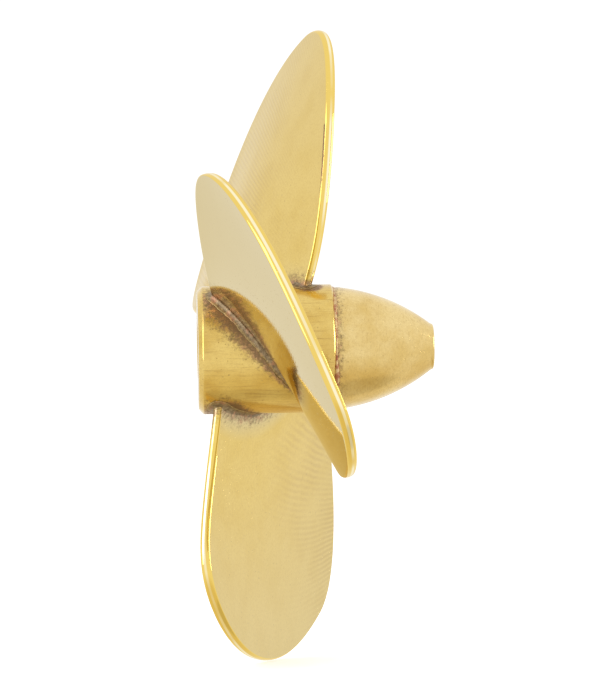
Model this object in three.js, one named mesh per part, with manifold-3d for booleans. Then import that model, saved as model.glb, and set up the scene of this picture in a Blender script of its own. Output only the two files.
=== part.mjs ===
// Three-blade brass propeller for a model boat, built as its separate pieces:
// a bored hub sleeve, a nose cone, three blades butted on the hub, and the braze that holds them.
// Millimetres. +X runs along the shaft from the hub's shaft-side face to the nose, +Z is up.
import * as THREE from 'three';
import { mergeVertices } from 'three/addons/utils/BufferGeometryUtils.js';
import Module from 'manifold-3d';

const wasm = await Module();
wasm.setup();

// Hub sleeve, turned from 10 mm bar
const HUB_RADIUS = 5.0;
const HUB_LENGTH = 10.6;
const FRONT_CHAMFER = 0.4;
const REAR_CHAMFER = 0.2;
const ROUND_STEPS = 48;

// Shaft bore, as a plain hole at the outside diameter of its M4 thread
const BORE_RADIUS = 2.02;
const BORE_MOUTH_RADIUS = 2.3;
const BORE_STEPS = 24;

// How far a cutting tool runs past the face it leaves by
const TOOL_OVERRUN = 1;

// Nose cone, with a spigot that fits the counterbore in the hub's rear face
const SPIGOT_RADIUS = 2.6;
const SPIGOT_LENGTH = 2.0;
const NOSE_BASE_RADIUS = 4.75;
const NOSE_LAND = 0.5;
const NOSE_LENGTH = 7.8;
const NOSE_TIP_RADIUS = 1.8;
const NOSE_TIP_CHAMFER = 0.2;
const NOSE_BULGE = 0.52;
const NOSE_STEPS = 8;

// Blades: helical plates whose sections lie round the shaft
const BLADE_COUNT = 3;
const FIRST_BLADE_ANGLE = -7.2;
const BLADE_TIP_RADIUS = 27.2;
const BLADE_THICKNESS = 0.8;
const EDGE_ROUND = 0.25;
const ROOT_STOCK = 0.4;
const PITCH_ANGLES = [38.5, 24.1, 22.2];
const SPINDLE_X = 6.05;
const TIP_RAKE = 3.5;
const TIP_WRAP = 1.52;
const TRAILING_CHORD = [4.3, 14.7, -11.0];
const LEADING_CHORD = [7.6, 11.4, 14.4];
const OUTLINE_POWER = 4.5;
const BLADE_ROWS = 16;
const BLADE_COLUMNS = 16;

// Braze
const BRAZE_GAP = 0.04;
const FILLET_WIDTH = 0.8;
const FILLET_HEIGHT = 0.8;
const FILLET_LEVELS = 4;
const NOSE_BEAD = 0.2;

const radians = THREE.MathUtils.degToRad;

const brass = new THREE.MeshStandardMaterial({ color: 0xd6b25a, roughness: 0.28, metalness: 1 });
const turnedBrass = new THREE.MeshStandardMaterial({ color: 0xcda64e, roughness: 0.3, metalness: 1 });
const braze = new THREE.MeshStandardMaterial({ color: 0x8d7a5e, roughness: 0.6, metalness: 1 });

// Quadratic in the span fraction u: a at the root, b at half span, c at the tip.
function throughThree([a, b, c], u) {
  return a * (1 - u) * (1 - 2 * u) + b * 4 * u * (1 - u) + c * u * (2 * u - 1);
}

function polynomial([a, b, c], u) {
  return a + b * u + c * u * u;
}

function spanFraction(r) {
  return (r - HUB_RADIUS) / (BLADE_TIP_RADIUS - HUB_RADIUS);
}

// A point on the blade at spindle radius r and chord distance s (+ towards the trailing edge),
// lifted by offset from the middle surface (+ towards the leading, shaft-side face).
function bladePoint(r, s, offset) {
  const u = spanFraction(r);
  const pitch = radians(throughThree(PITCH_ANGLES, u));
  const wrap = 1 + (TIP_WRAP - 1) * Math.max(u, 0);
  const angle = wrap * s * Math.cos(pitch) / r;
  const along = s * Math.sin(pitch) + TIP_RAKE * u * u - offset * Math.cos(pitch);
  const across = (r / wrap) * Math.sin(angle) + offset * Math.sin(pitch) * Math.cos(angle);
  const out = r - (r / wrap) * (1 - Math.cos(angle)) - offset * Math.sin(pitch) * Math.sin(angle);
  return [SPINDLE_X + along, -out, -across];
}

function chordLimits(r) {
  const u = Math.min(Math.max(spanFraction(r), 0), 1);
  const fullness = Math.sqrt(1 - u ** OUTLINE_POWER);
  return [-fullness * polynomial(LEADING_CHORD, u), fullness * polynomial(TRAILING_CHORD, u)];
}

// Spindle radii from just under the hub's surface to the tip, closer together towards the tip.
function bladeRadii() {
  const span = BLADE_TIP_RADIUS - HUB_RADIUS + ROOT_STOCK;
  const radii = [];
  for (let i = 0; i <= BLADE_ROWS; i += 1) radii.push(BLADE_TIP_RADIUS - span * (1 - i / BLADE_ROWS) ** 2);
  return radii;
}

// Distance in the blade's own surface from (r, s) to its edge.
function edgeDistance(outline, r, s) {
  let nearest = Infinity;
  for (let i = 1; i < outline.length; i += 1) {
    const [ar, as] = outline[i - 1];
    const [br, bs] = outline[i];
    const length2 = (br - ar) ** 2 + (bs - as) ** 2;
    const t = length2 ? ((r - ar) * (br - ar) + (s - as) * (bs - as)) / length2 : 0;
    const k = Math.min(Math.max(t, 0), 1);
    nearest = Math.min(nearest, Math.hypot(r - ar - k * (br - ar), s - as - k * (bs - as)));
  }
  return nearest;
}

function bladeOutline(radii) {
  const leading = radii.map((r) => [r, chordLimits(r)[0]]);
  const trailing = radii.map((r) => [r, chordLimits(r)[1]]);
  return [...leading, ...trailing.reverse()];
}

// A closed plate from a grid of points: rows run out along the span, columns across the chord,
// and both faces share their first and last column.
function plateGeometry(rowCount, columnCount, pointAt) {
  const positions = [];
  const quad = (a, b, c, d) => positions.push(...a, ...b, ...c, ...a, ...c, ...d);
  for (let i = 0; i < rowCount - 1; i += 1) {
    for (let j = 0; j < columnCount - 1; j += 1) {
      quad(pointAt(i, j, 1), pointAt(i + 1, j, 1), pointAt(i + 1, j + 1, 1), pointAt(i, j + 1, 1));
      quad(pointAt(i, j, -1), pointAt(i, j + 1, -1), pointAt(i + 1, j + 1, -1), pointAt(i + 1, j, -1));
    }
  }
  const last = rowCount - 1;
  for (let j = 0; j < columnCount - 1; j += 1) {
    quad(pointAt(0, j, 1), pointAt(0, j + 1, 1), pointAt(0, j + 1, -1), pointAt(0, j, -1));
    quad(pointAt(last, j, 1), pointAt(last, j, -1), pointAt(last, j + 1, -1), pointAt(last, j + 1, 1));
  }
  const geometry = new THREE.BufferGeometry();
  geometry.setAttribute('position', new THREE.Float32BufferAttribute(positions, 3));
  return geometry;
}

// How far a rounded edge has filled out, from 0 at its rim to 1 at the full thickness.
function edgeFullness(distance, depth) {
  const inset = Math.min(distance / depth, 1);
  return Math.sqrt(1 - (1 - inset) ** 2);
}

// The blade with its rounded edges. growth thickens it all round, to cut room for it.
function bladeGeometry(growth) {
  const radii = bladeRadii();
  const outline = bladeOutline(radii);
  const half = BLADE_THICKNESS / 2;
  const pointAt = (i, j, side) => {
    const r = radii[i];
    const [leading, trailing] = chordLimits(r);
    const f = (1 - Math.cos(Math.PI * j / BLADE_COLUMNS)) / 2;
    const s = leading + (trailing - leading) * f;
    const onRim = j === 0 || j === BLADE_COLUMNS;
    const fullness = onRim ? 0 : edgeFullness(edgeDistance(outline, r, s), EDGE_ROUND);
    return bladePoint(r, s + growth * (2 * f - 1), side * (half + growth) * fullness);
  };
  return plateGeometry(radii.length, BLADE_COLUMNS + 1, pointAt);
}

// The plate that a blade's braze fillet is cut from: wide at the hub, fading up the blade.
function filletGeometry() {
  const half = BLADE_THICKNESS / 2;
  const pointAt = (i, j, side) => {
    const rise = (i - 1) / FILLET_LEVELS;
    const flare = FILLET_WIDTH * (1 - Math.max(rise, 0)) ** 2 + 2 * BRAZE_GAP;
    const r = HUB_RADIUS + rise * FILLET_HEIGHT;
    const [leading, trailing] = chordLimits(r);
    const width = trailing - leading + 2 * flare;
    const f = (1 - Math.cos(Math.PI * j / BLADE_COLUMNS)) / 2;
    const fullness = edgeFullness(Math.min(f, 1 - f) * width, half + flare);
    return bladePoint(r, leading - flare + width * f, side * (half + flare) * fullness);
  };
  return plateGeometry(FILLET_LEVELS + 2, BLADE_COLUMNS + 1, pointAt);
}

function signedVolume(vertices, triangles) {
  let volume = 0;
  const corner = (i) => new THREE.Vector3().fromArray(vertices, 3 * i);
  for (let t = 0; t < triangles.length; t += 3) {
    volume += corner(triangles[t]).dot(corner(triangles[t + 1]).cross(corner(triangles[t + 2])));
  }
  return volume / 6;
}

// Any closed geometry, either way round, becomes a manifold-3d solid.
function solid(geometry) {
  const bare = geometry.clone();
  bare.deleteAttribute('normal');
  bare.deleteAttribute('uv');
  const merged = mergeVertices(bare, 1e-5);
  const vertices = merged.attributes.position.array;
  const index = Array.from(merged.index.array);
  const triangles = [];
  for (let t = 0; t < index.length; t += 3) {
    const [a, b, c] = index.slice(t, t + 3);
    if (a !== b && b !== c && c !== a) triangles.push(a, b, c);
  }
  if (signedVolume(vertices, triangles) < 0) triangles.reverse();
  const mesh = new wasm.Mesh({
    numProp: 3,
    vertProperties: new Float32Array(vertices),
    triVerts: new Uint32Array(triangles),
  });
  return new wasm.Manifold(mesh);
}

function geometryOf(manifold) {
  const mesh = manifold.getMesh();
  const geometry = new THREE.BufferGeometry();
  geometry.setAttribute('position', new THREE.BufferAttribute(mesh.vertProperties, 3));
  geometry.setIndex(new THREE.BufferAttribute(mesh.triVerts, 1));
  geometry.computeVertexNormals();
  return geometry;
}

// A profile of [x, radius] points turned about the shaft axis.
function turned(profile, steps = ROUND_STEPS) {
  const points = profile.map(([x, radius]) => new THREE.Vector2(radius, x));
  return new THREE.LatheGeometry(points, steps).rotateZ(-Math.PI / 2);
}

function cylinder(radius, from, to) {
  return solid(turned([[from, 0], [from, radius], [to, radius], [to, 0]]));
}

function hubSleeve() {
  const blank = solid(turned([
    [0, 0],
    [0, HUB_RADIUS - FRONT_CHAMFER],
    [FRONT_CHAMFER, HUB_RADIUS],
    [HUB_LENGTH - REAR_CHAMFER, HUB_RADIUS],
    [HUB_LENGTH, HUB_RADIUS - REAR_CHAMFER],
    [HUB_LENGTH, 0],
  ]));
  const bore = solid(turned([
    [-TOOL_OVERRUN, 0],
    [-TOOL_OVERRUN, BORE_MOUTH_RADIUS + TOOL_OVERRUN],
    [BORE_MOUTH_RADIUS - BORE_RADIUS, BORE_RADIUS],
    [HUB_LENGTH, BORE_RADIUS],
    [HUB_LENGTH, 0],
  ], BORE_STEPS));
  const counterboreFloor = HUB_LENGTH - SPIGOT_LENGTH - BRAZE_GAP;
  const counterbore = cylinder(SPIGOT_RADIUS + BRAZE_GAP, counterboreFloor, HUB_LENGTH + TOOL_OVERRUN);
  return geometryOf(blank.subtract(bore).subtract(counterbore));
}

function noseCone() {
  const start = HUB_LENGTH + BRAZE_GAP;
  const end = HUB_LENGTH + NOSE_LENGTH;
  const first = new THREE.Vector2(start + NOSE_LAND, NOSE_BASE_RADIUS);
  const last = new THREE.Vector2(end - NOSE_TIP_CHAMFER, NOSE_TIP_RADIUS);
  const chord = last.clone().sub(first);
  const outward = new THREE.Vector2(-chord.y, chord.x).normalize();
  const control = first.clone().lerp(last, 0.5).addScaledVector(outward, 2 * NOSE_BULGE);
  const ogive = new THREE.QuadraticBezierCurve(first, control, last).getPoints(NOSE_STEPS);
  return turned([
    [HUB_LENGTH - SPIGOT_LENGTH, 0],
    [HUB_LENGTH - SPIGOT_LENGTH, SPIGOT_RADIUS],
    [start, SPIGOT_RADIUS],
    [start, NOSE_BASE_RADIUS],
    ...ogive.map((p) => [p.x, p.y]),
    [end, NOSE_TIP_RADIUS - NOSE_TIP_CHAMFER],
    [end, 0],
  ]);
}

// Blade i's turn about the shaft, in degrees, by the right-hand rule about +X.
function bladeTurn(i) {
  return -(FIRST_BLADE_ANGLE + i * 360 / BLADE_COUNT);
}

// The hub's surface and the braze gap round it, longer than the hub both ways.
function hubRoom() {
  return cylinder(HUB_RADIUS + BRAZE_GAP, -HUB_LENGTH, 2 * HUB_LENGTH);
}

function oneBlade() {
  return geometryOf(solid(bladeGeometry(0)).subtract(hubRoom()));
}

function rootBraze() {
  return geometryOf(solid(filletGeometry()).subtract(hubRoom()).subtract(solid(bladeGeometry(BRAZE_GAP))));
}

function noseBraze() {
  const x = HUB_LENGTH + 2 * BRAZE_GAP;
  const r = NOSE_BASE_RADIUS + BRAZE_GAP;
  return turned([[x, r], [x, r + NOSE_BEAD], [x + NOSE_BEAD, r], [x, r]]);
}

const propeller = new THREE.Group();

function add(name, geometry, material, turn = 0) {
  const mesh = new THREE.Mesh(geometry, material);
  mesh.name = name;
  mesh.rotation.x = radians(turn);
  propeller.add(mesh);
}

add('hub_sleeve', hubSleeve(), turnedBrass);
add('nose_cone', noseCone(), turnedBrass);
add('nose_braze', noseBraze(), braze);
const blade = oneBlade();
const fillet = rootBraze();
for (let i = 0; i < BLADE_COUNT; i += 1) {
  add(`blade_${i + 1}`, blade, brass, bladeTurn(i));
  add(`root_braze_${i + 1}`, fillet, braze, bladeTurn(i));
}

export default propeller;
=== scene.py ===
"""A three-blade brass model-boat propeller, finished over its CAD frame.

The camera looks along +Y at blade 1, which points at it. +X runs along the shaft from the shaft
side to the nose. Lengths are in millimetres and are turned to metres where a mesh is made, apart
from the studio's, which are in metres.
"""

import math

import bmesh
import bpy
from mathutils import Matrix, Vector, noise

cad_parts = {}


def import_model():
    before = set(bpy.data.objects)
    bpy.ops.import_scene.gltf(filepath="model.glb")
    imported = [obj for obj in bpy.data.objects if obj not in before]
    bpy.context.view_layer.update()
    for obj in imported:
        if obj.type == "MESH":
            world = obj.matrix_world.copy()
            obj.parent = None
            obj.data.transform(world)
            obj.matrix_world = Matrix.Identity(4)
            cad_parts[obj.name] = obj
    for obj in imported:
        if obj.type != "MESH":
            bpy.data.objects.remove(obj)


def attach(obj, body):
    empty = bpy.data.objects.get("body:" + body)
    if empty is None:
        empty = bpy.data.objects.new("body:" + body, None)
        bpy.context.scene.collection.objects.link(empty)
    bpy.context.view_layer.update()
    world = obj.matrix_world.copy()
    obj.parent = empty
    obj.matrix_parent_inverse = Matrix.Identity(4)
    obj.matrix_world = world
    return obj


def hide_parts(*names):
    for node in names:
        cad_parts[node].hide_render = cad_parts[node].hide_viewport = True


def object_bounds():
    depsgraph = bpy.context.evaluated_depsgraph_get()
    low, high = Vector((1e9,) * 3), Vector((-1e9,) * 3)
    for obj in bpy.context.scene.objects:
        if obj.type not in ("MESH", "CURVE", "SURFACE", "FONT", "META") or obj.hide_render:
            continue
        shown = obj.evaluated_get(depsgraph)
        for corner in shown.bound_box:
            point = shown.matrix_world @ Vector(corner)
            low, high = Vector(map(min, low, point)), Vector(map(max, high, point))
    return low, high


MM = 0.001
BODY = "root"
TURNED_STEPS = 192

# Hub sleeve and its M4 bore: the thread's major and minor sizes and its mouth are radii
HUB_RADIUS = 5.0
HUB_LENGTH = 10.6
FRONT_CHAMFER = 0.4
REAR_CHAMFER = 0.2
THREAD_PITCH = 0.7
THREAD_MAJOR = 2.02
THREAD_MINOR = 1.62
THREAD_MOUTH = 2.3
THREAD_START = 0.3
THREAD_END = 8.6

# Nose cone
SPIGOT_RADIUS = 2.6
SPIGOT_LENGTH = 2.0
NOSE_BASE_RADIUS = 4.75
NOSE_LAND = 0.5
NOSE_LENGTH = 7.8
NOSE_TIP_RADIUS = 1.8
NOSE_TIP_CHAMFER = 0.2
NOSE_BULGE = 0.52
NOSE_STAIN = 0.66
NOSE_STAIN_REACH = 2.0

# Blades: helical plates whose sections lie round the shaft. Pitch angles are at the hub, halfway
# and at the tip, and each chord's limits are polynomials of how far out the section is.
BLADE_COUNT = 3
FIRST_BLADE_ANGLE = -7.2
BLADE_TIP_RADIUS = 27.2
BLADE_THICKNESS = 0.8
BLADE_FOOT = 4.6
EDGE_ROUND = 0.25
PITCH_ANGLES = (38.5, 24.1, 22.2)
SPINDLE_X = 6.05
TIP_RAKE = 3.5
TIP_WRAP = 1.52
TRAILING_CHORD = (4.3, 14.7, -11.0)
LEADING_CHORD = (7.6, 11.4, 14.4)
OUTLINE_POWER = 4.5
BLADE_ROWS = 110
BLADE_COLUMNS = 72

# Braze. The nose's bead is thickest on its heavy side, in radians round the shaft from +Y to +Z.
FILLET_WIDTH = 0.6
FILLET_HEIGHT = 0.5
FILLET_OVERLAP = 0.04
FILLET_CLEAR = 0.015
FILLET_DEPTH = 0.3
BEAD_SIZE = 0.10
BEAD_WANDER = 0.14
BEAD_LEAST = 0.015
BEAD_HEAVIER = 0.07
BEAD_HEAVY_SIDE = 3.5

# Painted dark reflection line inside the trailing edge: how far out it reaches, and how far in from the
# edge it lies
DARK_REFLECTION_RADII = (11.5, 18.0)
DARK_REFLECTION_INSET = (0.12, 0.36)
DARK_REFLECTION_FADE = 3.0

# Flame stain: how far it climbs the blades, and further by the leading end of the shaft-side face, where
# the same brown is a painted reflection of the browned braze and hub with painted shade; and how far it
# spreads on the hub beside them.
# On the hub it spreads from the least width at STAIN_END to the most at the shaft side.
STAIN_STRENGTH = 0.8
STAIN_CLIMB = 2.0
PAINTED_REFLECTION_CLIMB = 4.4
STAIN_LEAST = 0.5
STAIN_MOST = 2.6
STAIN_END = 7.0

# How each blade is finished: its cutter marks and their painted shade, its painted dark reflection line,
# and how pale it is painted as sheen at its foot and at its tip, and as real bloom beside its braze. Then
# how the marks lie on each face.
MARK_STRENGTHS = (0.12, 1.0, 1.0)
DARK_REFLECTION_STRENGTHS = (0.0, 1.0, 0.0)
SHEEN_AND_BLOOM = ((0.75, 0.9, 0.0), (-0.1, 0.25, 0.3), (-0.15, 0.45, 1.0))
MARK_PITCH = 0.42
MARK_LEAN = 1.05
FAN_CHORD = 19.0
FAN_RADIUS = 33.4
FAN_STEP = 0.02
MARK_FAINTEST = 0.12

# Studio. Aims are directions, and spreads are cosines of the angle from them.
FLOOR_HALF = 6.0
FLOOR_DROP = 0.0002
FLOOR_GLOW = 0.35
FLOOR_PALE = (0.93, 0.93, 0.93, 1)
FLOOR_GREY = (0.9, 0.9, 0.9, 1)
TENT_BRIGHT = 1.0
TENT_DIM = 0.67
TENT_WHITE = (1.0, 1.0, 1.0, 1)
TENT_WARM = (1.0, 0.90, 0.66, 1)
UNDER_AIM = (0.0, 0.0, -1.0)
UNDER_SPREAD = (0.4, 0.9)
DARK_AIM = (0.3, 0.0, -0.954)
DARK_SPREAD = (0.91, 0.965)
BACKDROP = 1.1
BOX_DISTANCE = 0.6

# Camera
CAMERA_DISTANCE = 350.0
CAMERA_YAW = -2.16
CAMERA_ROLL = 1.0
CAMERA_RIGHT = 2.68
CAMERA_UP = 0.41
LENS = 234.8


# ---------------------------------------------------------------- numbers

def clamped(value, low=0.0, high=1.0):
    return min(max(value, low), high)


def spaced(start, end, steps):
    """Evenly spaced numbers, with both ends among them."""
    return [start + (end - start) * k / steps for k in range(steps + 1)]


def through_three(values, u):
    """A quadratic curve's height at u, from its heights at 0, a half and 1."""
    a, b, c = values
    return a * (1 - u) * (1 - 2 * u) + b * 4 * u * (1 - u) + c * u * (2 * u - 1)


def polynomial(values, u):
    a, b, c = values
    return a + b * u + c * u * u


# ---------------------------------------------------------------- blade form

def span_fraction(r):
    """0 at the hub's surface and 1 at the tip."""
    return (r - HUB_RADIUS) / (BLADE_TIP_RADIUS - HUB_RADIUS)


def blade_point(r, s, offset):
    """Spindle radius r, chord distance s (+ trailing), offset from the middle (+ shaft side)."""
    u = span_fraction(r)
    pitch = math.radians(through_three(PITCH_ANGLES, u))
    wrap = 1 + (TIP_WRAP - 1) * max(u, 0.0)
    angle = wrap * s * math.cos(pitch) / r
    along = s * math.sin(pitch) + TIP_RAKE * u * u - offset * math.cos(pitch)
    across = (r / wrap) * math.sin(angle) + offset * math.sin(pitch) * math.cos(angle)
    out = r - (r / wrap) * (1 - math.cos(angle)) - offset * math.sin(pitch) * math.sin(angle)
    return Vector((SPINDLE_X + along, -out, -across))


def chord_limits(r):
    """How far along the chord the leading and the trailing edge lie, at spindle radius r."""
    u = clamped(span_fraction(r))
    fullness = math.sqrt(max(1 - u ** OUTLINE_POWER, 0.0))
    return -fullness * polynomial(LEADING_CHORD, u), fullness * polynomial(TRAILING_CHORD, u)


def blade_turn(i):
    """Blade i's turn about +X, in radians, by the right-hand rule."""
    return -math.radians(FIRST_BLADE_ANGLE + i * 360 / BLADE_COUNT)


# ---------------------------------------------------------------- mesh helpers

def make_piece(name, points, faces, material, layers=None, turn=0.0):
    """A smooth mesh piece from points in millimetres, with a float attribute for each layer."""
    spin = Matrix.Rotation(turn, 3, "X")
    mesh = bpy.data.meshes.new(name)
    mesh.from_pydata([spin @ p * MM for p in points], [], faces)
    for layer, values in (layers or {}).items():
        mesh.attributes.new(layer, "FLOAT", "POINT").data.foreach_set("value", values)
    mesh.validate()
    mesh.shade_smooth()
    mesh.materials.append(material)
    piece = bpy.data.objects.new(name, mesh)
    bpy.context.scene.collection.objects.link(piece)
    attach(piece, BODY)
    return piece


def grid_faces(rows, columns, wrap_columns=False, wrap_rows=False):
    """Quads over a rows by columns grid of points, row after row."""
    faces = []
    for i in range(rows if wrap_rows else rows - 1):
        for j in range(columns if wrap_columns else columns - 1):
            i1, j1 = (i + 1) % rows, (j + 1) % columns
            faces.append((i * columns + j, i * columns + j1, i1 * columns + j1, i1 * columns + j))
    return faces


def turned_points(profile, steps):
    """Turns (x, radius) points round the shaft's axis."""
    points = []
    for x, radius in profile:
        for k in range(steps):
            a = 2 * math.pi * k / steps
            points.append(Vector((x, radius * math.cos(a), radius * math.sin(a))))
    return points


def arc(x, y, radius, start, end, steps):
    """Points round a centre, between two angles in degrees."""
    angles = [math.radians(start + (end - start) * k / steps) for k in range(steps + 1)]
    return [(x + radius * math.cos(a), y + radius * math.sin(a)) for a in angles]


def broken_edge(first, last, soft):
    """A 45 degree chamfer between two profile points, with its own two corners rounded."""
    (x0, r0), (x1, r1) = first, last
    if r1 > r0:
        near = [(0.0, -1.0), (0.1, -0.3), (0.5, 0.3)]
        far = [(-0.5, -0.4), (0.2, -0.1), (1.0, 0.0)]
    else:
        near = [(-1.0, 0.0), (-0.2, -0.1), (0.5, -0.4)]
        far = [(-0.5, 0.3), (-0.1, -0.3), (0.0, -1.0)]
    start = [(x0 + soft * dx, r0 + soft * dr) for dx, dr in near]
    middle = [(x0 + (x1 - x0) * t, r0 + (r1 - r0) * t) for t in (0.35, 0.65)]
    finish = [(x1 + soft * dx, r1 + soft * dr) for dx, dr in far]
    return start + middle + finish


# ---------------------------------------------------------------- node helpers

class Shader:
    """A material's node tree, with one short call for each kind of node it uses."""

    def __init__(self, name):
        self.material = bpy.data.materials.new(name)
        self.material.use_nodes = True
        self.tree = self.material.node_tree
        self.bsdf = self.tree.nodes["Principled BSDF"]

    def node(self, kind, settings=None, **inputs):
        """Adds a node. An input goes by its name, with _ for a space, or by i and its number."""
        made = self.tree.nodes.new(kind)
        for key, value in (settings or {}).items():
            setattr(made, key, value)
        for key, value in inputs.items():
            self.feed(made.inputs[int(key[1:]) if key[1:].isdigit() else key.replace("_", " ")], value)
        return made

    def feed(self, socket, value):
        if isinstance(value, bpy.types.NodeSocket):
            self.tree.links.new(value, socket)
        else:
            socket.default_value = value

    def math(self, operation, a, b=0.0):
        return self.node("ShaderNodeMath", {"operation": operation}, i0=a, i1=b).outputs[0]

    def layer(self, name):
        return self.node("ShaderNodeAttribute", {"attribute_name": name}).outputs["Fac"]

    def place(self, turn=(0.0, 0.0, 0.0), stretch=(1.0, 1.0, 1.0)):
        """Object coordinates in millimetres, turned and stretched."""
        where = self.node("ShaderNodeTexCoord").outputs["Object"]
        size = tuple(k / MM for k in stretch)
        return self.node("ShaderNodeMapping", Vector=where, Rotation=turn, Scale=size).outputs[0]

    def noise(self, scale, detail=3.0, roughness=0.55, where=None):
        made = self.node("ShaderNodeTexNoise", Vector=where or self.place(), Scale=scale,
                         Detail=detail, Roughness=roughness)
        return made.outputs["Fac"]

    def ramp(self, value, low, high):
        """0 below low, 1 above high, and smooth between."""
        kind = {"interpolation_type": "SMOOTHSTEP"}
        return self.node("ShaderNodeMapRange", kind, Value=value, From_Min=low, From_Max=high).outputs[0]

    def mix(self, factor, a, b):
        made = self.tree.nodes.new("ShaderNodeMix")
        made.data_type = "RGBA"
        self.feed(made.inputs["Factor"], factor)
        self.feed(made.inputs[6], a)
        self.feed(made.inputs[7], b)
        return made.outputs[2]

    def bump(self, height, strength, distance, under=None):
        made = self.node("ShaderNodeBump", Height=height, Strength=strength, Distance=distance)
        if under:
            self.tree.links.new(under, made.inputs["Normal"])
        return made.outputs[0]

    def finish(self, colour, roughness, normal, metallic=1.0):
        self.feed(self.bsdf.inputs["Base Color"], colour)
        self.feed(self.bsdf.inputs["Roughness"], roughness)
        self.feed(self.bsdf.inputs["Metallic"], metallic)
        self.feed(self.bsdf.inputs["Normal"], normal)
        return self.material


# ---------------------------------------------------------------- materials

BLADE_BRASS = (0.81, 0.61, 0.215, 1)
BLADE_DEEP = (0.77, 0.565, 0.18, 1)
# Paler brass for the painted sheen on the blades, and for real bloom beside the braze.
BLADE_SHEEN_AND_BLOOM = (0.66, 0.57, 0.36, 1)
EDGE_BRASS = (0.88, 0.64, 0.16, 1)
# Pale colour of the painted highlight along the blades' rims.
EDGE_PAINTED_HIGHLIGHT = (1.0, 0.91, 0.62, 1)
GRAZING_TINT = (0.95, 0.90, 0.76, 1)
STREAK_AND_MARK_BROWN = (0.44, 0.27, 0.08, 1)
HUB_BRASS = (0.82, 0.60, 0.19, 1)
HUB_DEEP = (0.70, 0.47, 0.12, 1)
NOSE_BRASS = (0.88, 0.68, 0.31, 1)
NOSE_DEEP = (0.76, 0.54, 0.19, 1)
GRAIN_BROWN = (0.55, 0.36, 0.12, 1)
GROOVE_PAINTED_SHADE = (0.46, 0.30, 0.15, 1)
BROWN_STAIN = (0.21, 0.145, 0.08, 1)
COPPER_STAIN = (0.62, 0.30, 0.18, 1)
BRAZE_DARK = (0.20, 0.14, 0.08, 1)
BRAZE_PALE = (0.46, 0.36, 0.22, 1)
BEAD_COPPER = (0.42, 0.16, 0.09, 1)
BEAD_BRASS = (0.75, 0.55, 0.28, 1)


def brass_ground(shader, pale, deep):
    """Patchy brass colour with a fine grain and small dark pits."""
    patches = shader.ramp(shader.noise(0.35, 4.0), 0.35, 0.7)
    colour = shader.mix(patches, pale, deep)
    grain = shader.ramp(shader.noise(5.0, 6.0, 0.75), 0.42, 0.62)
    colour = shader.mix(shader.math("MULTIPLY", grain, 0.22), colour, GRAIN_BROWN)
    pits = shader.ramp(shader.noise(6.0, 2.0, 0.4), 0.70, 0.78)
    return shader.mix(shader.math("MULTIPLY", pits, 0.5), colour, BROWN_STAIN), pits


def stained(shader, colour, stain):
    """Speckled brown flux stain and copper bloom where the stain layer is strong. On the blades the layer
    also carries painted reflection and a painted dark line.
    """
    grain = shader.noise(3.4, 8.0, 0.85)
    reach = shader.math("ADD", stain, shader.math("MULTIPLY", shader.math("SUBTRACT", grain, 0.5), 3.0))
    brown = shader.math("MULTIPLY", shader.ramp(reach, 0.25, 0.95), shader.ramp(stain, 0.0, 0.3))
    copper = shader.ramp(shader.math("MULTIPLY", stain, shader.noise(2.2, 5.0, 0.7)), 0.22, 0.42)
    colour = shader.mix(shader.math("MULTIPLY", copper, 0.7), colour, COPPER_STAIN)
    return shader.mix(shader.math("MULTIPLY", brown, 0.82), colour, BROWN_STAIN), brown


def blade_material():
    shader = Shader("milled_brass")
    colour, pits = brass_ground(shader, BLADE_BRASS, BLADE_DEEP)
    # Painted sheen: paler brass all over blade 1 and towards the tips stands in for the white sheen on
    # the blades. The part beside the braze is real bloom.
    pale = shader.math("MAXIMUM", shader.layer("pale"), 0.0)
    colour = shader.mix(pale, colour, BLADE_SHEEN_AND_BLOOM)
    rim = shader.layer("rim")
    colour = shader.mix(shader.ramp(rim, 0.0, 0.3), colour, EDGE_BRASS)
    # Painted highlight: a pale line along the outermost rim, broken into patches, stands in for the
    # bright reflection on the blades' rounded edges.
    highlight_patches = shader.ramp(shader.noise(0.16, 2.0), 0.3, 0.5)
    painted_highlight = shader.math("MULTIPLY", shader.ramp(rim, 0.94, 0.985), highlight_patches)
    colour = shader.mix(painted_highlight, colour, EDGE_PAINTED_HIGHLIGHT)
    # On the blades the stain layer also carries the painted reflection by the leading root and the
    # painted dark reflection line.
    colour, brown = stained(shader, colour, shader.layer("stain"))
    wander = shader.math("MULTIPLY", shader.noise(0.5, 1.0), 3.0)
    passes = shader.math("MULTIPLY", shader.layer("mark_phase"), 2 * math.pi)
    groove = shader.math("SINE", shader.math("ADD", passes, wander))
    patchy = shader.ramp(shader.noise(0.25, 2.0), 0.2, 0.6)
    depth = shader.math("MULTIPLY", shader.layer("mark_depth"), patchy)
    ridges = shader.math("MULTIPLY", groove, depth)
    # Painted shade: the cutter marks are darkened towards brown in their grooves, standing in for the
    # light and shade across them.
    shade = shader.math("MULTIPLY", shader.math("ADD", ridges, depth), 0.13)
    colour = shader.mix(shade, colour, GROOVE_PAINTED_SHADE)
    normal = shader.bump(ridges, 0.2, 0.00002)
    normal = shader.bump(shader.noise(3.0, 5.0), 0.05, 0.00005, normal)
    normal = shader.bump(pits, 0.3, -0.00003, normal)
    rough = shader.math("ADD", shader.math("MULTIPLY", brown, 0.35), 0.045)
    shader.feed(shader.bsdf.inputs["Specular Tint"], GRAZING_TINT)
    return shader.finish(colour, rough, normal)


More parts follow.
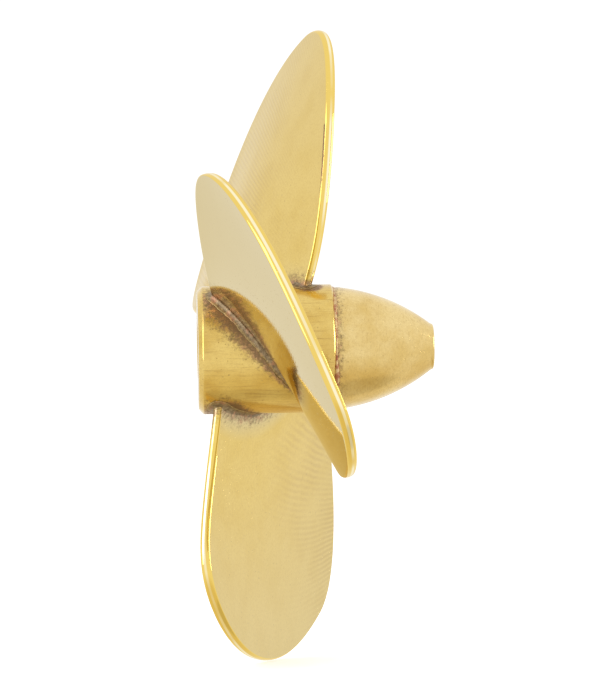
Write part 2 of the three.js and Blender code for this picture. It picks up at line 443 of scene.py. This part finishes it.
def turned_material(name, pale, deep, along):
    """Turned and polished bar: fine lines along the axis, painted as reflection streaks, or rings round
    it with slanting polish.
    """
    shader = Shader(name)
    colour, pits = brass_ground(shader, pale, deep)
    stretch = (0.10, 1.8, 1.8) if along else (2.4, 0.5, 0.9)
    slant = (0.0, 0.0, 0.0) if along else (0.0, 0.6, 0.0)
    lines = shader.noise(3.4, 6.0, 0.7, shader.place(turn=slant, stretch=stretch))
    # Brown lines: along the axis they are painted reflection streaks, and round the nose they are real
    # turning rings and polish.
    tint = shader.math("MULTIPLY", shader.ramp(lines, 0.5, 0.7), 0.55 if along else 0.3)
    colour = shader.mix(tint, colour, STREAK_AND_MARK_BROWN)
    colour, brown = stained(shader, colour, shader.layer("stain"))
    normal = shader.bump(lines, 0.10, 0.00005)
    normal = shader.bump(shader.noise(4.0, 4.0), 0.04, 0.00005, normal)
    normal = shader.bump(pits, 0.4, -0.00004, normal)
    rough = shader.math("ADD", shader.math("MULTIPLY", brown, 0.35), 0.13)
    return shader.finish(colour, rough, normal)


def braze_material():
    """Dull silver braze, browned by the flame and running out thin over the brass."""
    shader = Shader("braze_alloy")
    cells = shader.noise(3.6, 7.0, 0.75)
    colour = shader.mix(shader.ramp(cells, 0.38, 0.68), BRAZE_DARK, BRAZE_PALE)
    copper = shader.ramp(shader.noise(1.4, 5.0), 0.5, 0.62)
    colour = shader.mix(shader.math("MULTIPLY", copper, 0.5), colour, COPPER_STAIN)
    reach = shader.math("ADD", shader.layer("run_out"), shader.math("MULTIPLY", cells, 0.8))
    thin = shader.ramp(reach, 1.1, 1.45)
    colour = shader.mix(shader.math("MULTIPLY", thin, 0.35), colour, HUB_DEEP)
    normal = shader.bump(cells, 0.5, 0.00005)
    rough = shader.math("ADD", shader.math("MULTIPLY", cells, 0.4), 0.26)
    return shader.finish(colour, rough, normal)


def copper_bead_material():
    """Copper-red braze with brass showing through it."""
    shader = Shader("copper_bead")
    cells = shader.noise(2.6, 5.0, 0.7)
    colour = shader.mix(shader.ramp(cells, 0.4, 0.6), BEAD_COPPER, BEAD_BRASS)
    normal = shader.bump(cells, 0.5, 0.0001)
    return shader.finish(colour, shader.math("ADD", shader.math("MULTIPLY", cells, 0.3), 0.25), normal)


# ---------------------------------------------------------------- turned pieces

def root_nearness(point):
    """1 beside a blade's root on the hub, falling to 0 over a width that grows towards the shaft side."""
    if point.x < FRONT_CHAMFER:
        return 0.0
    nearest = math.inf
    leading, trailing = chord_limits(HUB_RADIUS)
    for i in range(BLADE_COUNT):
        spin = Matrix.Rotation(blade_turn(i), 3, "X")
        for s in spaced(leading + 1.5, trailing, 16):
            nearest = min(nearest, (spin @ blade_point(HUB_RADIUS, s, 0) - point).length)
    width = STAIN_LEAST + (STAIN_MOST - STAIN_LEAST) * max(0.0, 1 - point.x / STAIN_END)
    return clamped(1.1 - (nearest - BLADE_THICKNESS) / width)


def hub(material):
    """The hub's turned outside, with both chamfers and the mouth of the bore."""
    end = HUB_LENGTH - REAR_CHAMFER
    barrel = [(x, HUB_RADIUS) for x in spaced(FRONT_CHAMFER + 0.2, end - 0.5, 40)]
    mouth = THREAD_MOUTH - THREAD_MINOR
    profile = [(mouth, THREAD_MINOR), (0.02, THREAD_MOUTH), (0.0, THREAD_MOUTH + 0.03)]
    profile += [(0.0, r) for r in spaced(THREAD_MOUTH + 0.3, HUB_RADIUS - FRONT_CHAMFER - 0.1, 4)]
    profile += broken_edge((0.0, HUB_RADIUS - FRONT_CHAMFER), (FRONT_CHAMFER, HUB_RADIUS), soft=0.06)
    profile += barrel
    profile += broken_edge((end, HUB_RADIUS), (HUB_LENGTH, HUB_RADIUS - REAR_CHAMFER), soft=0.05)
    profile.append((HUB_LENGTH, NOSE_BASE_RADIUS - 0.4))
    points = turned_points(profile, TURNED_STEPS)
    stain = [root_nearness(p) for p in points]
    faces = grid_faces(len(profile), TURNED_STEPS, wrap_columns=True)
    piece = make_piece("hub_shell", points, faces, material, {"stain": stain})
    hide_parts("hub_sleeve")


def shaft_thread(material):
    """The M4 thread inside the bore, as a helical wall. Its profile is in fractions of the pitch."""
    profile = ((0.0, THREAD_MAJOR), (0.125, THREAD_MAJOR), (0.4375, THREAD_MINOR), (0.6875, THREAD_MINOR))
    steps = 96
    turns = int((THREAD_END - THREAD_START) / THREAD_PITCH)
    points = []
    for k in range(turns * len(profile)):
        fraction, radius = profile[k % len(profile)]
        for j in range(steps + 1):
            a = 2 * math.pi * j / steps
            x = THREAD_START + THREAD_PITCH * (k // len(profile) + fraction + j / steps)
            points.append(Vector((x, radius * math.cos(a), radius * math.sin(a))))
    faces = grid_faces(turns * len(profile), steps + 1)
    stain = [0.0] * len(points)
    make_piece("shaft_thread", points, faces, material, {"stain": stain})


def nose_profile():
    """The spigot, the land by the hub, the bulging cone as a quadratic curve, and the tip."""
    start = Vector((HUB_LENGTH + NOSE_LAND, NOSE_BASE_RADIUS))
    end = Vector((HUB_LENGTH + NOSE_LENGTH - NOSE_TIP_CHAMFER, NOSE_TIP_RADIUS))
    chord = end - start
    outward = Vector((-chord.y, chord.x)).normalized()
    control = start.lerp(end, 0.5) + 2 * NOSE_BULGE * outward
    back = HUB_LENGTH - SPIGOT_LENGTH
    profile = [(back, 0.02), (back, SPIGOT_RADIUS), (HUB_LENGTH - 0.1, SPIGOT_RADIUS)]
    profile += [(HUB_LENGTH + x, NOSE_BASE_RADIUS) for x in (-0.1, -0.06, 0.1)]
    for t in spaced(0, 1, 48):
        p = start * (1 - t) ** 2 + control * 2 * t * (1 - t) + end * t * t
        profile.append((p.x, p.y))
    tip = end.x
    flat = NOSE_TIP_RADIUS - NOSE_TIP_CHAMFER
    profile += arc(tip, flat, NOSE_TIP_CHAMFER, 70, 10, 5)
    profile += [(tip + NOSE_TIP_CHAMFER, r) for r in spaced(flat - 0.05, 0.02, 10)]
    return profile


def nose(material):
    profile = nose_profile()
    points = turned_points(profile, TURNED_STEPS)
    stain = [max(0.0, NOSE_STAIN - (p.x - HUB_LENGTH) / NOSE_STAIN_REACH) for p in points]
    faces = grid_faces(len(profile), TURNED_STEPS, wrap_columns=True)
    last = (len(profile) - 1) * TURNED_STEPS
    faces.append(tuple(range(last, last + TURNED_STEPS)))
    faces.append(tuple(reversed(range(TURNED_STEPS))))
    piece = make_piece("nose_shell", points, faces, material, {"stain": stain})
    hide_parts("nose_cone")


def nose_bead(material):
    """Braze left in the step between the hub and the nose, thick in places and missing in others."""
    steps, around = 240, 10
    points = []
    for k in range(steps):
        a = 2 * math.pi * k / steps
        size = BEAD_SIZE + BEAD_WANDER * noise.noise(Vector((3 * math.cos(a), 3 * math.sin(a), 1.7)))
        size = max(size, BEAD_LEAST) + BEAD_HEAVIER * max(0.0, math.cos(a - BEAD_HEAVY_SIDE))
        for j in range(around):
            b = 2 * math.pi * j / around
            x = HUB_LENGTH + 0.01 + size * math.cos(b)
            radius = NOSE_BASE_RADIUS + size * math.sin(b)
            points.append(Vector((x, radius * math.cos(a), radius * math.sin(a))))
    faces = grid_faces(steps, around, wrap_columns=True, wrap_rows=True)
    piece = make_piece("nose_bead", points, faces, material)
    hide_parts("nose_braze")


# ---------------------------------------------------------------- blades and fillets

def chord_place(low, high, column):
    """Where a column of the blade's grid lies along the chord: closer together towards both edges."""
    return low + (high - low) * (1 - math.cos(math.pi * column / (BLADE_COLUMNS - 1))) / 2


def edge_distances(rows, limits):
    """For each grid point of a blade, how far it is from the blade's edge."""
    outline = [Vector((r, low)) for r, (low, _) in zip(rows, limits)]
    outline += [Vector((r, high)) for r, (_, high) in reversed(list(zip(rows, limits)))]
    distances = []
    reach = BLADE_THICKNESS
    margin = 0.6
    for r, (low, high) in zip(rows, limits):
        for j in range(BLADE_COLUMNS):
            p = Vector((r, chord_place(low, high, j)))
            near = [q for q in outline if max(abs(q.x - p.x), abs(q.y - p.y)) < reach + margin]
            distance = min(nearest_on(p, near), reach)
            distances.append(0.0 if j in (0, BLADE_COLUMNS - 1) else distance)
    return distances


def nearest_on(point, line):
    """Distance from a point to a line of points, leaving out the jumps where points are missing."""
    nearest = math.inf
    jump = 1.5
    for a, b in zip(line, line[1:]):
        step = b - a
        if step.length > jump:
            continue
        length2 = step.length_squared
        t = (point - a).dot(step) / length2 if length2 else 0.0
        nearest = min(nearest, (point - a - step * clamped(t)).length)
    return nearest


def blade_grid():
    """Points, faces and layers of a blade in its own place, before it is turned."""
    reach = BLADE_TIP_RADIUS - BLADE_FOOT
    rows = [BLADE_TIP_RADIUS - reach * (1 - t) ** 2 for t in spaced(0, 1, BLADE_ROWS - 1)]
    limits = [chord_limits(r) for r in rows]
    distances = edge_distances(rows, limits)
    half = BLADE_THICKNESS / 2
    points, span, stain, dark_reflection, rim, phase, depth = [], [], [], [], [], [], []
    for side in (1, -1):
        for i, r in enumerate(rows):
            for j in range(BLADE_COLUMNS):
                s = chord_place(*limits[i], j)
                distance = distances[i * BLADE_COLUMNS + j]
                inset = min(distance / EDGE_ROUND, 1.0)
                points.append(blade_point(r, s, side * half * math.sqrt(1 - (1 - inset) ** 2)))
                span.append(span_fraction(r))
                stain.append(stain_and_painted_reflection(r, s, side))
                dark_reflection.append(painted_reflection_line(r, s, side, distance))
                rim.append(1 - inset)
                phase.append(mark_phase(r, s, side))
                depth.append(mark_depth(r, s, side) * max(0.0, 1.7 * inset - 0.7))
    count = BLADE_ROWS * BLADE_COLUMNS
    top = grid_faces(BLADE_ROWS, BLADE_COLUMNS)
    bottom = [tuple(count + k for k in reversed(face)) for face in top]
    foot = [(j, count + j, count + j + 1, j + 1) for j in range(BLADE_COLUMNS - 1)]
    layers = {"span": span, "stain": stain, "dark_reflection": dark_reflection, "rim": rim,
              "mark_phase": phase, "mark_depth": depth}
    return points, top + bottom + foot, layers


def stain_and_painted_reflection(r, s, side):
    """Stain near the root, reaching further up the shaft-side face by the leading end, where the brown is
    painted reflection of the braze and hub and painted shade.
    """
    reach = PAINTED_REFLECTION_CLIMB if side > 0 and s < 0 else STAIN_CLIMB
    return STAIN_STRENGTH * max(0.0, 1.0 - (r - HUB_RADIUS) / reach)


def painted_reflection_line(r, s, side, distance):
    """A painted dark reflection line just inside part of the trailing edge, on the shaft-side face."""
    start, end = DARK_REFLECTION_RADII
    least, most = DARK_REFLECTION_INSET
    if side < 0 or s < 0 or r > end or not least < distance < most:
        return 0.0
    return clamped((r - start) / DARK_REFLECTION_FADE)


def mark_phase(r, s, side):
    """Cutter passes: slanting across the shaft-side face, and fanned over the nose-side face."""
    if side > 0:
        return (r + MARK_LEAN * s) / MARK_PITCH
    return math.atan2(FAN_RADIUS - r, FAN_CHORD - s) / FAN_STEP


def mark_depth(r, s, side):
    """The marks are plainest towards the leading edge on one face and the trailing edge on the other."""
    nearing = (6.0 - s) / 9.0 if side > 0 else (s + 4.0) / 8.0
    clear_of_root = clamped((r - HUB_RADIUS - 1.5) / 4.0)
    return clamped(nearing, MARK_FAINTEST) * clear_of_root


def weld(piece):
    """Joins points that coincide, as on a blade's rim, and turns every face outwards."""
    shape = bmesh.new()
    shape.from_mesh(piece.data)
    bmesh.ops.remove_doubles(shape, verts=shape.verts, dist=1e-7)
    bmesh.ops.recalc_face_normals(shape, faces=shape.faces)
    shape.to_mesh(piece.data)
    shape.free()


def blades(material):
    points, faces, layers = blade_grid()
    depth = layers["mark_depth"]
    stain = layers["stain"]
    dark_reflection = layers.pop("dark_reflection")
    span = layers.pop("span")
    for i in range(BLADE_COUNT):
        name = f"blade_{i + 1}"
        layers["mark_depth"] = [MARK_STRENGTHS[i] * d for d in depth]
        # The painted dark reflection line goes into the stain layer and is painted in the stain's brown.
        layers["stain"] = [max(a, DARK_REFLECTION_STRENGTHS[i] * b) for a, b in zip(stain, dark_reflection)]
        # Painted sheen from the foot to the tip, and real bloom near the root.
        foot, tip, bloom = SHEEN_AND_BLOOM[i]
        layers["pale"] = [foot + (tip - foot) * max(u, 0.0) + bloom * max(0.0, 1 - 9 * u)
                          for u in span]
        piece = make_piece(f"{name}_skin", points, faces, material, layers, blade_turn(i))
        weld(piece)
        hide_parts(name)


def fillet_ring(distance, steps):
    """(s, offset) pairs round the blade's root section, at a distance outside it."""
    low, high = chord_limits(HUB_RADIUS)
    half = BLADE_THICKNESS / 2
    low, high = low + half, high - half
    radius = half + distance
    length = high - low
    total = 2 * length + 2 * math.pi * radius
    ring = []
    for k in range(steps):
        d = total * k / steps
        if d < length:
            ring.append((low + d, radius))
        elif d < length + math.pi * radius:
            a = math.pi / 2 - (d - length) / radius
            ring.append((high + radius * math.cos(a), radius * math.sin(a)))
        elif d < 2 * length + math.pi * radius:
            ring.append((high - (d - length - math.pi * radius), -radius))
        else:
            a = -math.pi / 2 - (d - 2 * length - math.pi * radius) / radius
            ring.append((low + radius * math.cos(a), radius * math.sin(a)))
    return ring


def fillet_points(seed):
    """A concave bead from the hub up the blade, uneven as braze flows, closed inside the joint."""
    steps, across = 220, 12
    points, run_out = [], []
    for k in range(steps):
        a = 2 * math.pi * k / steps
        flow = noise.noise(Vector((2.2 * math.cos(a), 2.2 * math.sin(a), seed)))
        ripple = noise.noise(Vector((11 * math.cos(a), 11 * math.sin(a), seed + 5)))
        width = FILLET_WIDTH * (1 + 0.35 * flow + 0.14 * ripple)
        height = FILLET_HEIGHT * (0.9 + 0.3 * flow - 0.1 * ripple)
        for j in range(across):
            c = j / (across - 1)
            s, offset = fillet_ring(width * (1 - c) ** 2 - FILLET_OVERLAP, steps)[k]
            lift = height * c * c + FILLET_CLEAR
            p = blade_point(HUB_RADIUS + lift, s, offset)
            level = (HUB_RADIUS + lift) / math.hypot(p.y, p.z)
            points.append(Vector((p.x, p.y * level, p.z * level)))
            run_out.append(1 - c)
        s, offset = fillet_ring(-BLADE_THICKNESS / 4, steps)[k]
        p = blade_point(HUB_RADIUS, s, offset)
        level = (HUB_RADIUS - FILLET_DEPTH) / math.hypot(p.y, p.z)
        points.append(Vector((p.x, p.y * level, p.z * level)))
        run_out.append(0.0)
    return points, grid_faces(steps, across + 1, wrap_columns=True, wrap_rows=True), {"run_out": run_out}


def fillets(material):
    for i in range(BLADE_COUNT):
        points, faces, layers = fillet_points(3.1 * i)
        node = f"root_braze_{i + 1}"
        piece = make_piece(f"{node}_bead", points, faces, material, layers, blade_turn(i))
        weld(piece)
        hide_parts(node)


# ---------------------------------------------------------------- studio

def floor(low):
    """A pale floor, lit a little from within so that it runs into the white behind it."""
    shader = Shader("pale_floor")
    grain = shader.noise(0.02, 2.0)
    colour = shader.mix(shader.math("MULTIPLY", grain, 0.2), FLOOR_PALE, FLOOR_GREY)
    normal = shader.bump(grain, 0.02, 0.0001)
    material = shader.finish(colour, 0.6, normal, 0.0)
    shader.feed(shader.bsdf.inputs["Emission Color"], (1, 1, 1, 1))
    shader.feed(shader.bsdf.inputs["Emission Strength"], FLOOR_GLOW)
    sides = ((-1, -1), (1, -1), (1, 1), (-1, 1))
    corners = [(FLOOR_HALF * x, FLOOR_HALF * y, low) for x, y in sides]
    mesh = bpy.data.meshes.new("floor")
    mesh.from_pydata(corners, [], [(0, 1, 2, 3)])
    mesh.materials.append(material)
    plane = bpy.data.objects.new("floor", mesh)
    bpy.context.scene.collection.objects.link(plane)
    plane.visible_glossy = False


def dome():
    """A white tent, dimmer and warmer underneath."""
    world = bpy.data.worlds.new("tent")
    bpy.context.scene.world = world
    world.use_nodes = True
    tree = world.node_tree
    tent = tree.nodes["Background"]
    under = towards(tree, UNDER_AIM, *UNDER_SPREAD)
    dark = towards(tree, DARK_AIM, *DARK_SPREAD)
    shade = tree.nodes.new("ShaderNodeMath")
    shade.operation = "ADD"
    tree.links.new(under, shade.inputs[0])
    tree.links.new(dark, shade.inputs[1])
    strength = tree.nodes.new("ShaderNodeMapRange")
    strength.inputs["From Max"].default_value = 2.0
    strength.inputs["To Min"].default_value = TENT_BRIGHT
    strength.inputs["To Max"].default_value = TENT_DIM
    tree.links.new(shade.outputs[0], strength.inputs["Value"])
    tree.links.new(strength.outputs[0], tent.inputs["Strength"])
    tint = tree.nodes.new("ShaderNodeMix")
    tint.data_type = "RGBA"
    tint.inputs[6].default_value = TENT_WHITE
    tint.inputs[7].default_value = TENT_WARM
    tree.links.new(under, tint.inputs["Factor"])
    tree.links.new(tint.outputs[2], tent.inputs["Color"])
    white_backdrop(tree, tent)


def white_backdrop(tree, tent):
    """Shows the camera plain white, and everything else the tent."""
    plain = tree.nodes.new("ShaderNodeBackground")
    plain.inputs["Color"].default_value = TENT_WHITE
    plain.inputs["Strength"].default_value = BACKDROP
    path = tree.nodes.new("ShaderNodeLightPath")
    choose = tree.nodes.new("ShaderNodeMixShader")
    tree.links.new(path.outputs["Is Camera Ray"], choose.inputs[0])
    tree.links.new(tent.outputs[0], choose.inputs[1])
    tree.links.new(plain.outputs[0], choose.inputs[2])
    tree.links.new(choose.outputs[0], tree.nodes["World Output"].inputs["Surface"])


def towards(tree, aim, low, high):
    """0 to 1 as the view turns to a direction, between two cosines of the angle from it."""
    facing = tree.nodes.new("ShaderNodeVectorMath")
    facing.operation = "DOT_PRODUCT"
    facing.inputs[1].default_value = aim
    where = tree.nodes.new("ShaderNodeTexCoord").outputs["Generated"]
    tree.links.new(where, facing.inputs[0])
    shade = tree.nodes.new("ShaderNodeMapRange")
    shade.interpolation_type = "SMOOTHSTEP"
    shade.inputs["From Min"].default_value = low
    shade.inputs["From Max"].default_value = high
    tree.links.new(facing.outputs["Value"], shade.inputs["Value"])
    return shade.outputs[0]


def softbox(name, azimuth, elevation, size, watts):
    """An area light aimed at the hub. Azimuth 0 is the camera's side and 90 is the nose's side."""
    a, e = math.radians(azimuth), math.radians(elevation)
    away = Vector((math.sin(a) * math.cos(e), -math.cos(a) * math.cos(e), math.sin(e)))
    lamp = bpy.data.lights.new(name, "AREA")
    lamp.shape = "RECTANGLE"
    lamp.size, lamp.size_y = size
    lamp.energy = watts
    box = bpy.data.objects.new(name, lamp)
    box.location = Vector((HUB_LENGTH / 2, 0, 0)) * MM + BOX_DISTANCE * away
    box.rotation_euler = away.to_track_quat("Z", "Y").to_euler()
    bpy.context.scene.collection.objects.link(box)


def camera():
    """Turned a little to the shaft side and rolled, as the photograph was taken."""
    yaw = Matrix.Rotation(math.radians(-CAMERA_YAW), 3, "Z")
    roll = Matrix.Rotation(math.radians(-CAMERA_ROLL), 3, "Y")
    centre = Vector((HUB_LENGTH / 2, 0, 0))
    turn = (roll @ yaw).inverted()
    lens = bpy.data.cameras.new("camera")
    lens.lens = LENS
    lens.sensor_width = 36
    lens.clip_start = 0.01
    lens.clip_end = 50
    eye = bpy.data.objects.new("camera", lens)
    right, up, back = turn @ Vector((1, 0, 0)), turn @ Vector((0, 0, 1)), turn @ Vector((0, -1, 0))
    place = (centre + right * CAMERA_RIGHT + up * CAMERA_UP + back * CAMERA_DISTANCE) * MM
    axes = Matrix((right, up, back)).transposed().to_4x4()
    eye.matrix_world = Matrix.Translation(place) @ axes
    bpy.context.scene.collection.objects.link(eye)
    bpy.context.scene.camera = eye


def main():
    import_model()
    cad_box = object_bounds()
    bpy.context.scene.view_settings.view_transform = "Standard"

    barrel = turned_material("turned_brass", HUB_BRASS, HUB_DEEP, along=True)
    hub(barrel)
    shaft_thread(barrel)
    nose(turned_material("polished_nose", NOSE_BRASS, NOSE_DEEP, along=False))
    nose_bead(copper_bead_material())
    blades(blade_material())
    fillets(braze_material())

    camera()
    dome()
    softbox("left_box", azimuth=-66, elevation=20, size=(0.3, 0.7), watts=1.3)
    softbox("right_strip", azimuth=96, elevation=11, size=(0.08, 0.3), watts=0.6)
    floor(cad_box[0][2] - FLOOR_DROP)


main()
